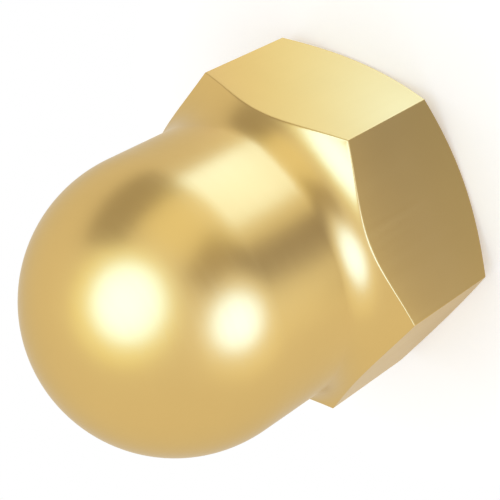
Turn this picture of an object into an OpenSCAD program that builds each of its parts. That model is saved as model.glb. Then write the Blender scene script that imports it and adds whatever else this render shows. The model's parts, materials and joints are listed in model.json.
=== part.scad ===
// Domed cap nut, also called an acorn nut.
// It is one turned and milled piece: a hexagon to hold with a spanner, a plain neck, a half-round
// dome over the end of the screw, and a blind threaded hole from the bearing face.
// The origin is the centre of the bearing face. +Z points to the dome and two hexagon corners are on X.

/* [Hexagon] */
// Width across the flats, which is the spanner size
across_flats = 8; // [7.6:0.1:8.8]
// Length of each upright edge at the six corners
corner_edge_h = 2.75; // [1.5:0.05:3.6]
// Diameter of the flat bearing face inside the chamfer
bearing_face_d = 7.8; // [6.8:0.1:8.2]
// Slope of the chamfer between the bearing face and the corners, in degrees
chamfer_angle = 30; // [15:1:40]

/* [Dome] */
// Height from the bearing face to the top of the dome
nut_h = 10.1; // [9.6:0.1:12]
// Diameter of the neck and of the dome above it
dome_d = 7.4; // [6.8:0.1:7.6]
// Radius of the hollow sweep from the neck out to the corners
sweep_r = 1.4; // [1.3:0.05:2]

/* [Threaded hole] */
// Nominal diameter of the thread
thread_d = 5; // [3:0.5:5]
// Pitch of the thread
thread_pitch = 0.8; // [0.5:0.05:1]
// Depth of the drilled hole, without its pointed end
hole_depth = 6.8; // [4:0.1:7.4]
// Angle of the drill's point, in degrees
drill_point_angle = 118; // [90:1:140]
// Diameter of the countersunk mouth
mouth_d = 5.6; // [5.2:0.1:6.4]
// Angle of the countersink, in degrees
mouth_angle = 120; // [90:1:140]

/* [Hidden] */
$fn = 96;
corner_r = across_flats / sqrt(3);
bearing_face_r = bearing_face_d / 2;
dome_r = dome_d / 2;
dome_centre_z = nut_h - dome_r;
chamfer_slope = tan(chamfer_angle);
corner_bottom_z = (corner_r - bearing_face_r) * chamfer_slope;
corner_top_z = corner_bottom_z + corner_edge_h;
// The sweep is an arc that leaves the neck upright and runs out at the corners' upper ends
sweep_centre_r = dome_r + sweep_r;
sweep_top_z = corner_top_z + sqrt(sweep_r ^ 2 - (sweep_centre_r - corner_r) ^ 2);
// The drilled core is what an internal ISO thread leaves at its crests
core_r = (thread_d - 1.0825 * thread_pitch) / 2;
mouth_r = mouth_d / 2;
mouth_depth = (mouth_r - core_r) / tan(mouth_angle / 2);
drill_point_h = core_r / tan(drill_point_angle / 2);
// How far a cutting shape runs past the face that it cuts
cut_over = 1;
// The turned section reaches past the corners, and the hexagon then trims it
stock_r = corner_r + cut_over;

// Half section of the turned blank: stock for the hexagon, chamfer, hollow sweep, neck and dome
module blank_section() {
    difference() {
        square([stock_r, sweep_top_z]);
        translate([sweep_centre_r, sweep_top_z]) circle(r = sweep_r);
        polygon([
            [bearing_face_r, 0],
            [stock_r + cut_over, 0],
            [stock_r + cut_over, (stock_r + cut_over - bearing_face_r) * chamfer_slope]
        ]);
    }
    square([dome_r, dome_centre_z]);
    intersection() {
        translate([0, dome_centre_z]) circle(r = dome_r);
        translate([0, dome_centre_z]) square([dome_r, dome_r]);
    }
}

// Half section of the blind hole: countersunk mouth, drilled core and drill point
module hole_section() {
    polygon([
        [0, -cut_over],
        [mouth_r, -cut_over],
        [mouth_r, 0],
        [core_r, mouth_depth],
        [core_r, hole_depth],
        [0, hole_depth + drill_point_h]
    ]);
}

// The whole nut: the turned blank between six flats, with the hole taken out
module cap_nut() {
    color([0.85, 0.71, 0.44])
    difference() {
        intersection() {
            rotate_extrude() blank_section();
            cylinder(r = corner_r, h = nut_h, $fn = 6);
        }
        rotate_extrude() hole_section();
    }
}

cap_nut();
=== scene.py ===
import json
from math import ceil, cos, pi, radians, sin, sqrt, tan

import bmesh
import bpy
import numpy as np
from mathutils import Matrix, Vector


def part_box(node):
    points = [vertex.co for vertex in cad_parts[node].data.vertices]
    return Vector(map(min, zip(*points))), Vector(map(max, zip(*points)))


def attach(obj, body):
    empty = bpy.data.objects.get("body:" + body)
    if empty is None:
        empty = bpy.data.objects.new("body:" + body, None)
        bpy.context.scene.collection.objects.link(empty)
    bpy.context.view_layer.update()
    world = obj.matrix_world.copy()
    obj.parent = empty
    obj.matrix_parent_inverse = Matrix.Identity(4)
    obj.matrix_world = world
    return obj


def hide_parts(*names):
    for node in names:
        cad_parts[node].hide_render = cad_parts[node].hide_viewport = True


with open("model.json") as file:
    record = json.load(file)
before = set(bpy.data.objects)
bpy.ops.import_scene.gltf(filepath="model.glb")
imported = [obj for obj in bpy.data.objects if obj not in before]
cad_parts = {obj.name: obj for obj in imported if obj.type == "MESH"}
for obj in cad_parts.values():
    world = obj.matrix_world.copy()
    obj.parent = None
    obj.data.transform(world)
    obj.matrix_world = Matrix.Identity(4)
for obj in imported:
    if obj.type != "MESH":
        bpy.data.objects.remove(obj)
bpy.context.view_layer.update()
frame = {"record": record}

scene = bpy.context.scene
MM = 0.001


# ------------------------------------------------------------ the nut, outside
# A domed cap nut, turned from drawn hexagon brass bar in one piece: six flats, a 30 degree chamfer
# round the bearing face, a hollow sweep up to a plain neck, and a half-round dome.
# Every edge carries the small break that tumbling leaves.

low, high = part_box("cap_nut")
ACROSS_FLATS = high.y - low.y
NUT_H = high.z - low.z
CORNER_EDGE_H = 2.75 * MM
BEARING_FACE_R = 3.9 * MM
CHAMFER_SLOPE = tan(radians(30))
DOME_R = 3.7 * MM
SWEEP_R = 1.4 * MM
EDGE_BREAK = 0.02 * MM
CORNER_BREAK = 0.025 * MM

CORNER_R = ACROSS_FLATS / sqrt(3)
CORNER_TOP_Z = (CORNER_R - BEARING_FACE_R) * CHAMFER_SLOPE + CORNER_EDGE_H
DOME_CENTRE_Z = NUT_H - DOME_R
SWEEP_CENTRE_R = DOME_R + SWEEP_R
SWEEP_TOP_Z = CORNER_TOP_Z + sqrt(SWEEP_R ** 2 - (SWEEP_CENTRE_R - CORNER_R) ** 2)

SIDES = 6
SIDE_ANGLE = 2 * pi / SIDES
CORNER_STEPS = 4
# Steps along a flat are short beside the corners, so that the rounding there doesn't shade the flat
FLAT_STOPS = np.concatenate([[-1, -0.99], np.linspace(-0.95, 0.95, 25), [0.99, 1]])
FLAT_STEPS = len(FLAT_STOPS) - 1
COLUMNS = SIDES * (FLAT_STEPS + CORNER_STEPS)
EVEN_ANGLE = (np.arange(COLUMNS + 1) + CORNER_STEPS / 2) * 2 * pi / COLUMNS


def hexagon_outline(set_in):
    """The outline of the flats in plan, set in by a distance, as one (x, y) row for each column.

    Each side runs straight along its flat and then turns its corner on an arc: the arc's centre stands
    CORNER_BREAK inside the flats, and the outline is that centre plus (CORNER_BREAK - set_in) outwards.
    """
    centre_in = ACROSS_FLATS / 2 - CORNER_BREAK
    half_flat = centre_in * tan(SIDE_ANGLE / 2)
    along = half_flat * np.concatenate([FLAT_STOPS, np.ones(CORNER_STEPS - 1)])
    turn = np.concatenate([np.zeros(FLAT_STEPS), np.linspace(0, SIDE_ANGLE, CORNER_STEPS, endpoint=False)])
    facing = (np.arange(SIDES)[:, None] + 0.5) * SIDE_ANGLE
    outward = facing + turn
    x = centre_in * np.cos(facing) - along * np.sin(facing) + (CORNER_BREAK - set_in) * np.cos(outward)
    y = centre_in * np.sin(facing) + along * np.cos(facing) + (CORNER_BREAK - set_in) * np.sin(outward)
    outline = np.stack([x.ravel(), y.ravel()], 1)
    return np.vstack([outline, outline[:1]])


def sweep_z(radius):
    """Height of the hollow sweep at a radius: its arc hangs from the neck, centred SWEEP_R outside it."""
    return SWEEP_TOP_Z - np.sqrt(SWEEP_R ** 2 - (SWEEP_CENTRE_R - radius) ** 2)


def chamfer_z(radius):
    """Height of the bottom chamfer at a radius: a cone that leaves the bearing face at its rim."""
    return (radius - BEARING_FACE_R) * CHAMFER_SLOPE


def turned(radius, height, angle):
    """Points of a turned surface: a radius and a height, swept round the axis to each column's angle."""
    radius, height, angle = np.broadcast_arrays(radius, height, angle)
    return np.stack([radius * np.cos(angle), radius * np.sin(angle), height], -1)


def lifted(outline, height):
    """Points above an outline in plan, each at its own height."""
    return np.concatenate([outline, np.broadcast_to(height, len(outline))[:, None]], 1)


def rounded(start, corner, end, v):
    """An edge break: the parabola from start to end whose two tangents meet at the sharp corner."""
    return (1 - v) ** 2 * start + 2 * v * (1 - v) * corner + v ** 2 * end


def ease(v):
    """A smooth step from 0 to 1, level at both ends."""
    return v * v * (3 - 2 * v)


def steps(count):
    """A column of parameters from 0 to 1 in equal steps, one row of the grid for each."""
    return np.linspace(0, 1, count + 1)[:, None]


wall = hexagon_outline(0)
rim = hexagon_outline(EDGE_BREAK)
wall_r = np.hypot(*wall.T)
rim_r = np.hypot(*rim.T)
rim_angle = np.unwrap(np.arctan2(rim[:, 1], rim[:, 0]))
flat_top = lifted(wall, sweep_z(wall_r) - EDGE_BREAK)
flat_bottom = lifted(wall, chamfer_z(wall_r) + EDGE_BREAK)

# Rows from the top of the dome down to the bearing face. Columns are evenly spaced on the turned
# surfaces and gather towards the corners on the hexagon.
v = steps(48)
dome_rows = turned(DOME_R * np.sin(v * pi / 2), DOME_CENTRE_Z + DOME_R * np.cos(v * pi / 2), EVEN_ANGLE)
v = steps(6)
neck_rows = turned(DOME_R, DOME_CENTRE_Z + v * (SWEEP_TOP_Z - DOME_CENTRE_Z), EVEN_ANGLE)
v = steps(28)
sweep_turn = v * np.arccos((SWEEP_CENTRE_R - rim_r) / SWEEP_R)
sweep_rows = turned(SWEEP_CENTRE_R - SWEEP_R * np.cos(sweep_turn),
                    SWEEP_TOP_Z - SWEEP_R * np.sin(sweep_turn),
                    EVEN_ANGLE + (rim_angle - EVEN_ANGLE) * ease(v))
v = steps(4)[:, :, None]
top_edge_rows = rounded(lifted(rim, sweep_z(rim_r)), lifted(wall, sweep_z(wall_r)), flat_top, v)
v = np.concatenate([[0, 0.01], np.linspace(0.05, 0.95, 10), [0.99, 1]])[:, None, None]
flat_rows = (1 - v) * flat_top + v * flat_bottom
v = steps(4)[:, :, None]
low_edge_rows = rounded(flat_bottom, lifted(wall, chamfer_z(wall_r)), lifted(rim, chamfer_z(rim_r)), v)
v = np.concatenate([[0, 0.02], np.linspace(0.1, 0.9, 6), [1]])[:, None]
chamfer_r = rim_r + (BEARING_FACE_R + EDGE_BREAK - rim_r) * v
chamfer_rows = turned(chamfer_r, chamfer_z(chamfer_r), rim_angle + (EVEN_ANGLE - rim_angle) * ease(v))
v = steps(3)
face_edge_rows = turned(BEARING_FACE_R + EDGE_BREAK * (1 - 2 * v),
                        (1 - v) ** 2 * EDGE_BREAK * CHAMFER_SLOPE, EVEN_ANGLE)


# ------------------------------------------------------- the nut, threaded hole
# A blind hole drilled from the bearing face, countersunk at its mouth and tapped M5 by 0.8, right-handed.
# The tap stops short of the drill point, so its last turn runs out into the plain drilled core.

thread = next(mount for mount in frame["record"]["mounts"] if mount["name"] == "thread")
CORE_R = thread["dims"]["r_mm"] * MM
PITCH = 0.8 * MM
CREST = 1 / 4
ROOT = 1 / 8
THREAD_DEPTH = 5 / 8 * sqrt(3) / 2 * PITCH
MOUTH_R = 2.8 * MM
MOUTH_TURN = radians(60)
HOLE_DEPTH = 6.8 * MM
FULL_THREAD_Z = 5.2 * MM
RUN_OUT = 1.2 * MM
DRILL_TURN = radians(59)
ROWS_PER_PITCH = 16
MOUTH_SAMPLES = 2001


def thread_radius(turns, height):
    """Radius of the tapped wall at a number of turns along the thread and a height in the hole.

    The ISO profile is a quarter pitch of flat crest, a 60 degree groove and an eighth of flat root.
    It fades out over the last turn.
    """
    flank = (1 - CREST - ROOT) / 2
    groove = np.interp(turns % 1, [0, CREST, CREST + flank, 1 - flank, 1], [0, 0, 1, 1, 0])
    depth = THREAD_DEPTH * np.clip((FULL_THREAD_Z + RUN_OUT - height) / RUN_OUT, 0, 1)
    return CORE_R + depth * groove


def mouth_r(height):
    """Radius of the countersink at a height: a cone that narrows from the bearing face inwards."""
    return MOUTH_R - height * tan(MOUTH_TURN)


v = np.concatenate([[0, 0.03], np.linspace(0.2, 0.8, 4), [0.97, 1]])[:, None]
face_r = BEARING_FACE_R - EDGE_BREAK + v * (MOUTH_R + 2 * EDGE_BREAK - BEARING_FACE_R)
face_rows = turned(face_r, 0, EVEN_ANGLE)
v = steps(3)
mouth_start_z = EDGE_BREAK * cos(MOUTH_TURN)
mouth_edge_rows = turned(MOUTH_R + EDGE_BREAK * ((1 - v) ** 2 - v ** 2 * sin(MOUTH_TURN)),
                         v ** 2 * mouth_start_z, EVEN_ANGLE)

# The countersink ends where it first meets the thread, found for each column by following its cone
along_thread = EVEN_ANGLE / (2 * pi)
z = np.linspace(mouth_start_z, (MOUTH_R - CORE_R) / tan(MOUTH_TURN), MOUTH_SAMPLES)[:, None]
has_met = thread_radius(z / PITCH - along_thread, z) >= mouth_r(z) - 1e-6 * MM
mouth_end_z = z[np.argmax(has_met, axis=0), 0]
v = steps(4)
mouth_z = mouth_start_z + v * (mouth_end_z - mouth_start_z)
mouth_rows = turned(mouth_r(mouth_z), mouth_z, EVEN_ANGLE)

# Each row of the tapped wall follows the helix, so that its crests and roots are sharp lines, and is
# held between the end of the countersink and the end of the run-out.
thread_end_z = FULL_THREAD_Z + RUN_OUT
last_turn = ceil(thread_end_z / PITCH)
turns = np.arange(-2 * ROWS_PER_PITCH, last_turn * ROWS_PER_PITCH + 1)[:, None] / ROWS_PER_PITCH
thread_z = np.clip(PITCH * (turns + along_thread), mouth_end_z, thread_end_z)
thread_rows = turned(thread_radius(thread_z / PITCH - along_thread, thread_z), thread_z, EVEN_ANGLE)
v = steps(2)
core_rows = turned(CORE_R, thread_end_z + v * (HOLE_DEPTH - thread_end_z), EVEN_ANGLE)
v = steps(6)
drill_rows = turned(CORE_R * (1 - v), HOLE_DEPTH + v * CORE_R / tan(DRILL_TURN), EVEN_ANGLE)


MERGE_DISTANCE = 2e-5 * MM
SHARP_FROM = radians(32)


def closed_mesh(name, rows, first_flat_row, last_flat_row):
    """One closed mesh from a grid of points: doubles are merged and faces point outwards.

    Its attribute on_flats is 1 on the faces between the first and last row of the flats, and 0 elsewhere.
    """
    count, columns = rows.shape[:2]
    corner = (np.arange(count - 1)[:, None] * columns + np.arange(columns - 1)).reshape(-1, 1)
    quads = corner + np.array([0, columns, columns + 1, 1])
    mesh = bpy.data.meshes.new(name)
    mesh.from_pydata(rows.reshape(-1, 3), [], quads)
    quad_row = np.repeat(np.arange(count - 1), columns - 1)
    is_flat = (quad_row >= first_flat_row) & (quad_row < last_flat_row)
    mesh.attributes.new("on_flats", "FLOAT", "FACE").data.foreach_set("value", is_flat.astype(np.float32))
    surface = bmesh.new()
    surface.from_mesh(mesh)
    bmesh.ops.remove_doubles(surface, verts=surface.verts, dist=MERGE_DISTANCE)
    bmesh.ops.dissolve_degenerate(surface, edges=surface.edges, dist=MERGE_DISTANCE)
    bmesh.ops.recalc_face_normals(surface, faces=surface.faces)
    surface.to_mesh(mesh)
    surface.free()
    mesh.shade_smooth()
    mesh.set_sharp_from_angle(angle=SHARP_FROM)
    return mesh


above_flats = [dome_rows, neck_rows, sweep_rows, top_edge_rows]
below_flats = [low_edge_rows, chamfer_rows, face_edge_rows, face_rows, mouth_edge_rows, mouth_rows,
               thread_rows, core_rows, drill_rows]
first_flat_row = sum(len(rows) for rows in above_flats)
nut_mesh = closed_mesh("nut_body", np.vstack(above_flats + [flat_rows] + below_flats),
                       first_flat_row, first_flat_row + len(flat_rows))
nut = bpy.data.objects.new("nut_body", nut_mesh)
scene.collection.objects.link(nut)
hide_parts("cap_nut")
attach(nut, "root")


# ------------------------------------------------------------ the nut's brass
# Clean yellow brass with a satin skin, smooth and even from a step away. Close up, the turned surfaces
# keep faint rings from the tool, and the flats faint lines from the drawing of the bar along its length.

BRASS = (0.668, 0.451, 0.1550)
BRASS_EDGE = (0.8, 0.785, 0.72, 1)
TONE_SPREAD = 0.018
TONE_SIZE = 1.7 * MM
SATIN = 0.3
SATIN_SPREAD = 0.04
MARK_WIDTH = 0.16 * MM
LINE_STRETCH = 50
MARK_DEPTH = 0.0003 * MM

brass = bpy.data.materials.new("satin_brass")
brass.use_nodes = True
brass_nodes = brass.node_tree.nodes
brass_links = brass.node_tree.links
brass_shader = brass_nodes["Principled BSDF"]
brass_shader.inputs["Metallic"].default_value = 1
brass_shader.inputs["Specular Tint"].default_value = BRASS_EDGE
where = brass_nodes.new("ShaderNodeTexCoord").outputs["Object"]


def vector_step(operation, first, second):
    """One step of vector arithmetic in the brass: a node's output and a fixed vector."""
    step = brass_nodes.new("ShaderNodeVectorMath")
    step.operation = operation
    brass_links.new(first, step.inputs[0])
    step.inputs[1].default_value = second
    return step


def grain(place, size, detail):
    """A soft random pattern at a place, as a value about 0.5, with features of a size."""
    pattern = brass_nodes.new("ShaderNodeTexNoise")
    pattern.inputs["Scale"].default_value = 1 / size
    pattern.inputs["Detail"].default_value = detail
    brass_links.new(place, pattern.inputs["Vector"])
    return pattern.outputs["Fac"]


def between(value, low_end, high_end):
    """A pattern's value, spread between two ends: its middle half, 0.25 to 0.75, fills the whole spread."""
    spread = brass_nodes.new("ShaderNodeMapRange")
    spread.inputs["From Min"].default_value = 0.25
    spread.inputs["From Max"].default_value = 0.75
    spread.inputs["To Min"].default_value = low_end
    spread.inputs["To Max"].default_value = high_end
    brass_links.new(value, spread.inputs["Value"])
    return spread.outputs["Result"]


# The rings follow the distance from the axis and the height, and the lines the place in plan. The lines
# also change along their length, but LINE_STRETCH times more slowly.
from_axis = vector_step("MULTIPLY", where, (1, 1, 0))
axis_distance = brass_nodes.new("ShaderNodeVectorMath")
axis_distance.operation = "LENGTH"
brass_links.new(from_axis.outputs[0], axis_distance.inputs[0])
split = brass_nodes.new("ShaderNodeSeparateXYZ")
brass_links.new(where, split.inputs[0])
ring_place = brass_nodes.new("ShaderNodeCombineXYZ")
brass_links.new(axis_distance.outputs["Value"], ring_place.inputs["X"])
brass_links.new(split.outputs["Z"], ring_place.inputs["Z"])
line_place = vector_step("MULTIPLY", where, (1, 1, 1 / LINE_STRETCH))
on_flats = brass_nodes.new("ShaderNodeAttribute")
on_flats.attribute_name = "on_flats"
mark_place = brass_nodes.new("ShaderNodeMix")
mark_place.data_type = "VECTOR"
brass_links.new(on_flats.outputs["Fac"], mark_place.inputs[0])
brass_links.new(ring_place.outputs[0], mark_place.inputs[4])
brass_links.new(line_place.outputs[0], mark_place.inputs[5])
marks = grain(mark_place.outputs[1], MARK_WIDTH, 2)

# The tone drifts a little over the piece, and the marks are a shade duller in their grooves
tone = brass_nodes.new("ShaderNodeMix")
tone.data_type = "RGBA"
brass_links.new(between(grain(where, TONE_SIZE, 3), 0, 1), tone.inputs[0])
tone.inputs[6].default_value = (*[channel * (1 - TONE_SPREAD) for channel in BRASS], 1)
tone.inputs[7].default_value = (*[channel * (1 + TONE_SPREAD) for channel in BRASS], 1)
brass_links.new(tone.outputs[2], brass_shader.inputs["Base Color"])
dullness = between(marks, SATIN + SATIN_SPREAD / 2, SATIN - SATIN_SPREAD / 2)
brass_links.new(dullness, brass_shader.inputs["Roughness"])
relief = brass_nodes.new("ShaderNodeBump")
relief.inputs["Distance"].default_value = MARK_DEPTH
brass_links.new(marks, relief.inputs["Height"])
brass_links.new(relief.outputs[0], brass_shader.inputs["Normal"])
nut_mesh.materials.append(brass)


# ------------------------------------------------------------------ the floor
# A small round stand of matt white board in an even white room. The camera and the brass see it a
# little brighter than its paint alone, so it stays white, and the nut's own shade stays on it.

STAND_R = 8.7 * MM
STAND_Z = -0.01 * MM
RIM_POINTS = 128
WHITE_BOARD = 0.8
BOARD_LIFT = 0.3
turn = np.arange(RIM_POINTS) * 2 * pi / RIM_POINTS
floor_mesh = bpy.data.meshes.new("floor")
floor_mesh.from_pydata(turned(STAND_R, STAND_Z, turn), [], [range(RIM_POINTS)])
floor = bpy.data.objects.new("floor", floor_mesh)
scene.collection.objects.link(floor)


def matt_board(name, shade):
    """Matt board of one even grey, with no gloss at all."""
    paint = bpy.data.materials.new(name)
    paint.use_nodes = True
    shader = paint.node_tree.nodes["Principled BSDF"]
    shader.inputs["Base Color"].default_value = (shade, shade, shade, 1)
    shader.inputs["Roughness"].default_value = 1
    shader.inputs["Specular IOR Level"].default_value = 0
    return paint


floor_paint = matt_board("white_board", WHITE_BOARD)
floor_nodes = floor_paint.node_tree.nodes
floor_links = floor_paint.node_tree.links
ray = floor_nodes.new("ShaderNodeLightPath")
camera_or_gloss = floor_nodes.new("ShaderNodeMath")
camera_or_gloss.operation = "MAXIMUM"
floor_links.new(ray.outputs["Is Camera Ray"], camera_or_gloss.inputs[0])
floor_links.new(ray.outputs["Is Glossy Ray"], camera_or_gloss.inputs[1])
seen_directly = floor_nodes.new("ShaderNodeMath")
seen_directly.operation = "MAXIMUM"
floor_links.new(camera_or_gloss.outputs[0], seen_directly.inputs[0])
floor_links.new(ray.outputs["Is Transmission Ray"], seen_directly.inputs[1])
lift = floor_nodes.new("ShaderNodeMath")
lift.operation = "MULTIPLY"
floor_links.new(seen_directly.outputs[0], lift.inputs[0])
lift.inputs[1].default_value = BOARD_LIFT
floor_shader = floor_nodes["Principled BSDF"]
floor_shader.inputs["Emission Color"].default_value = (1, 1, 1, 1)
floor_links.new(lift.outputs[0], floor_shader.inputs["Emission Strength"])
floor_mesh.materials.append(floor_paint)

world = bpy.data.worlds.new("room")
world.use_nodes = True
world.node_tree.nodes["Background"].inputs["Color"].default_value = (1, 1, 1, 1)
world.node_tree.nodes["Background"].inputs["Strength"].default_value = 1
scene.world = world


# ---------------------------------------------------------- the lamps and cards
# Soft panels round the stand, above and below its level: bright ones as the lamps and grey ones as the
# darker patches in the brass's shine. Glow 1 is the white of the room, in red, green and blue.

NUT_CENTRE = Vector((0, 0, 5.5)) * MM
LAMP_AWAY = 150 * MM
CARD_AWAY = 160 * MM
LYING_Z = 0.03 * MM


def placed(around, up, away, roll=0):
    """Place and turn of a panel that faces the nut.

    It stands so many degrees round from +X and so many up, at a distance, rolled by so many degrees.
    """
    around, up = radians(around), radians(up)
    outward = Vector((cos(around) * cos(up), sin(around) * cos(up), sin(up)))
    facing = outward.to_track_quat("Z", "Y").to_matrix().to_4x4()
    return Matrix.Translation(NUT_CENTRE + away * outward) @ facing @ Matrix.Rotation(radians(roll), 4, "Z")


def round_lamp(name, around, up, width, glow):
    """A round soft lamp that lights the brass alone. Its power is its glow times pi times its area."""
    light = bpy.data.lights.new(name, "AREA")
    light.shape = "DISK"
    light.size = width
    light.energy = max(glow) * pi * pi * width ** 2 / 4
    light.color = [channel / max(glow) for channel in glow]
    lamp = bpy.data.objects.new(name, light)
    lamp.matrix_world = placed(around, up, LAMP_AWAY)
    scene.collection.objects.link(lamp)
    lamp.visible_camera = False
    lamp.visible_diffuse = False
    return lamp


def card(name, place, corners, glow):
    """A flat card with these corners, laid down at a place, that glows evenly.

    Only the brass sees it: it throws no shadow, and the nut beside it doesn't darken or tint it.
    """
    mesh = bpy.data.meshes.new(name)
    mesh.from_pydata([(x, y, 0) for x, y in corners], [], [range(len(corners))])
    paint = bpy.data.materials.new(name + "_glow")
    paint.use_nodes = True
    nodes = paint.node_tree.nodes
    nodes.remove(nodes["Principled BSDF"])
    lit = nodes.new("ShaderNodeEmission")
    lit.inputs["Color"].default_value = (*glow, 1)
    paint.node_tree.links.new(lit.outputs[0], nodes["Material Output"].inputs["Surface"])
    mesh.materials.append(paint)
    panel = bpy.data.objects.new(name, mesh)
    panel.matrix_world = place
    scene.collection.objects.link(panel)
    panel.visible_camera = False
    panel.visible_diffuse = False
    panel.visible_shadow = False
    return panel


def grade(panel, parts):
    """Grades a card's glow: to the glow it has, each part adds a colour times a value over the card.

    A part is the colour and the node output that gives its value.
    """
    nodes = panel.data.materials[0].node_tree.nodes
    links = panel.data.materials[0].node_tree.links
    lit = nodes["Emission"]
    total = None
    for colour, value in parts:
        added = nodes.new("ShaderNodeVectorMath")
        added.operation = "MULTIPLY_ADD"
        links.new(value, added.inputs[0])
        added.inputs[1].default_value = colour
        added.inputs[2].default_value = lit.inputs["Color"].default_value[:3]
        if total:
            links.new(total.outputs[0], added.inputs[2])
        total = added
    links.new(total.outputs[0], lit.inputs["Color"])


def across(panel, per_mm_x, per_mm_y):
    """A glow that changes evenly over a card, by so much for each millimetre along its x and its y."""
    nodes = panel.data.materials[0].node_tree.nodes
    where = nodes.new("ShaderNodeTexCoord")
    split = nodes.new("ShaderNodeSeparateXYZ")
    panel.data.materials[0].node_tree.links.new(where.outputs["Object"], split.inputs[0])
    grade(panel, [([channel / MM for channel in per_mm_x], split.outputs["X"]),
                  ([channel / MM for channel in per_mm_y], split.outputs["Y"])])


def round_glow(panel, centre, reach, first, second):
    """A glow that is strongest at a centre and gone at its reach.

    It adds first times t plus second times t squared, where t falls evenly from 1 to 0 on the way.
    """
    nodes = panel.data.materials[0].node_tree.nodes
    links = panel.data.materials[0].node_tree.links
    where = nodes.new("ShaderNodeTexCoord")
    centred = nodes.new("ShaderNodeMapping")
    centred.vector_type = "TEXTURE"
    centred.inputs["Location"].default_value = centre
    centred.inputs["Scale"].default_value = (reach, reach, reach)
    links.new(where.outputs["Object"], centred.inputs["Vector"])
    parts = []
    for colour, kind in ((first, "SPHERICAL"), (second, "QUADRATIC_SPHERE")):
        fall = nodes.new("ShaderNodeTexGradient")
        fall.gradient_type = kind
        links.new(centred.outputs[0], fall.inputs["Vector"])
        parts.append((colour, fall.outputs["Fac"]))
    grade(panel, parts)


def oblong(width, height):
    """The corners of an oblong card about its middle."""
    x, y = width / 2, height / 2
    return [(-x, -y), (x, -y), (x, y), (-x, y)]


round_lamp("top_lamp", -44.2, 59.8, 147.5 * MM, (0.443, 1.484, 4.946))
round_lamp("top_glow", -40.3, 64.2, 249 * MM, (0.329, 0.408, 0))
round_lamp("front_lamp", -107.9, -1.4, 102.5 * MM, (0.702, 1.753, 5.532))
round_lamp("front_glow", -114.5, -6.8, 207 * MM, (0.192, 0.213, 0.083))
round_lamp("low_glow", -32.2, -19.8, 229 * MM, (0.195, 0.212, 0.052))
card("low_lamp_card", placed(-18.4, -52.1, LAMP_AWAY, 13),
     [(-62 * MM, -20 * MM), (62 * MM, -20 * MM), (62 * MM, 56 * MM), (-62 * MM, 56 * MM)],
     (1.851, 2.679, 4.923))
card("side_card", placed(6, 2.5, CARD_AWAY, 0.5), oblong(96.5 * MM, 174 * MM), (0.491, 0.465, 0.453))
card("front_card", placed(-64.7, -3.5, CARD_AWAY, 23.8), oblong(68 * MM, 128 * MM), (0.530, 0.480, 0.421))
card("low_card", placed(-80.4, -32.5, CARD_AWAY, -38.7), oblong(55 * MM, 155 * MM), (0.384, 0.351, 0.374))

# Two cards lie just over the stand, in front of the nut and to its right, and meet under its near corner.
LYING = Matrix.Translation((0, 0, LYING_Z))
NEAR_CORNER = (CORNER_R / 2, -ACROSS_FLATS / 2)
# Painted shade: a card darker than the room, that the brass shows as shaded floor in front of the nut
painted_floor_shade = card("painted_floor_shade_card", LYING,
                   [NEAR_CORNER, (-4.4 * MM, -4 * MM), (-4.6 * MM, -7.9 * MM), (-2.5 * MM, -8.6 * MM),
                    (3.2 * MM, -8.6 * MM)],
                   (0.657, 0.705, 0.790))
across(painted_floor_shade, (-0.0359, -0.0341, -0.0310), (0.0199, 0.0300, 0.0388))
# Painted pool of light: a card brighter than the room, brightest near the nut, seen by the brass as lit
# floor
painted_floor_light = card("painted_floor_light_card", LYING,
                   [NEAR_CORNER, (3.4 * MM, -6.5 * MM), (6 * MM, -5.6 * MM), (7.6 * MM, -3.6 * MM),
                    (8.5 * MM, -1 * MM), (8.5 * MM, 1.9 * MM), (7 * MM, 4 * MM), (5.6 * MM, 3.6 * MM),
                    (CORNER_R, 0)], (1.269, 1.266, 1.391))
round_glow(painted_floor_light, (3.86 * MM, -4.65 * MM, 0), 8 * MM, (0.035, 0.289, -0.844), (0.229, 0.678, 3.544))


# ---------------------------------------------------------------- the camera
# It looks down on the standing nut, and is rolled round its own axis so that the dome points left.

CAMERA_AT = Vector((7.121, -25.892, 23.171)) * MM
CAMERA_AIM = Vector((0.154, 0.046, 3.788)) * MM
CAMERA_ROLL = radians(119.95)
LENS_MM = 95.98
SENSOR_MM = 36
camera_data = bpy.data.cameras.new("camera")
camera_data.lens = LENS_MM
camera_data.sensor_width = SENSOR_MM
camera_data.clip_start = 1 * MM
camera = bpy.data.objects.new("camera", camera_data)
camera.matrix_world = (Matrix.Translation(CAMERA_AT)
                       @ (CAMERA_AIM - CAMERA_AT).to_track_quat("-Z", "Y").to_matrix().to_4x4()
                       @ Matrix.Rotation(-CAMERA_ROLL, 4, "Z"))
scene.collection.objects.link(camera)
scene.camera = camera
scene.view_settings.view_transform = "Standard"
# Baked maps repeat each island's own edge around it, so that no dark dots are left where islands meet
scene.render.bake.margin_type = "EXTEND"
